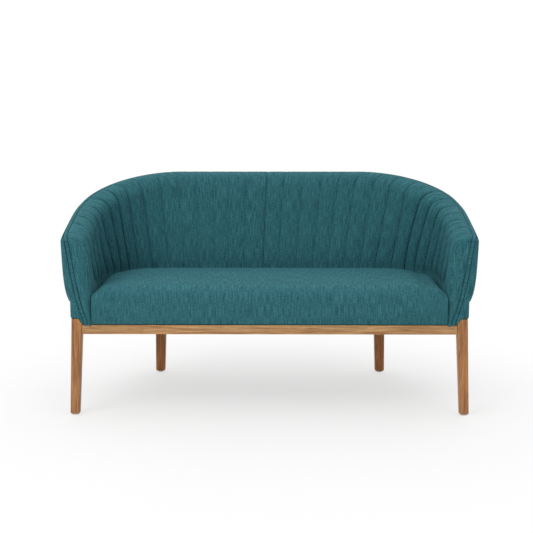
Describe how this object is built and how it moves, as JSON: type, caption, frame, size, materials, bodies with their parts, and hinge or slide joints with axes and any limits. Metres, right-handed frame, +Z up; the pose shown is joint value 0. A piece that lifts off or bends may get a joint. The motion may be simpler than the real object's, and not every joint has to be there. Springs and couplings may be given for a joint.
{
  "type": "settee",
  "caption": "Low tub-shaped settee with a wrap-round channelled back and arms, a tight seat and a slim timber base on splayed tapered legs.",
  "frame": {"origin": "on the floor, under the middle of the settee", "axes": "+X to the right as seen from the front, +Y from front to back, +Z up"},
  "size_m": [1.3398, 0.629, 0.753],
  "materials": {
    "fabric": "woven upholstery fabric, matt",
    "foam": "upholstery foam",
    "timber": "satin lacquer",
    "frame_timber": "planed, unfinished",
    "webbing": "woven strap",
    "liner": "non-woven sheet",
    "nylon": "moulded",
    "steel": "plain"
  },
  "bodies": {
    "root": {"front_leg_left": "timber", "front_leg_right": "timber", "back_leg_left": "timber", "back_leg_right": "timber", "side_rail_left": "timber", "side_rail_right": "timber", "front_rail": "timber", "back_rail": "timber", "front_corner_block_left": "frame_timber", "front_corner_block_right": "frame_timber", "back_corner_block_left": "frame_timber", "back_corner_block_right": "frame_timber", "bearer_left": "frame_timber", "bearer_right": "frame_timber", "bearer_centre": "frame_timber", "seat_frame_side_left": "frame_timber", "seat_frame_side_right": "frame_timber", "seat_frame_back": "frame_timber", "seat_frame_front": "frame_timber", "arm_front_post_left": "frame_timber", "arm_front_post_right": "frame_timber", "corner_post_left": "frame_timber", "corner_post_right": "frame_timber", "back_post_left": "frame_timber", "back_post_right": "frame_timber", "centre_post": "frame_timber", "arm_top_rail_left": "frame_timber", "arm_top_rail_right": "frame_timber", "back_top_rail": "frame_timber", "front_glide_left": "nylon", "front_glide_right": "nylon", "back_glide_left": "nylon", "back_glide_right": "nylon", "front_leg_bolt_left": "steel", "front_leg_bolt_right": "steel", "back_leg_bolt_left": "steel", "back_leg_bolt_right": "steel", "long_strap_1_left": "webbing", "long_strap_1_right": "webbing", "long_strap_2_left": "webbing", "long_strap_2_right": "webbing", "long_strap_3_left": "webbing", "long_strap_3_right": "webbing", "cross_strap_1": "webbing", "cross_strap_2": "webbing", "dust_cover": "liner", "seat_foam": "foam", "outside_arm_left": "fabric", "outside_arm_right": "fabric", "outside_back": "fabric", "inside_pad": "fabric", "seat_cover": "fabric", "seam_cord": "fabric"}
  },
  "joints": []
}
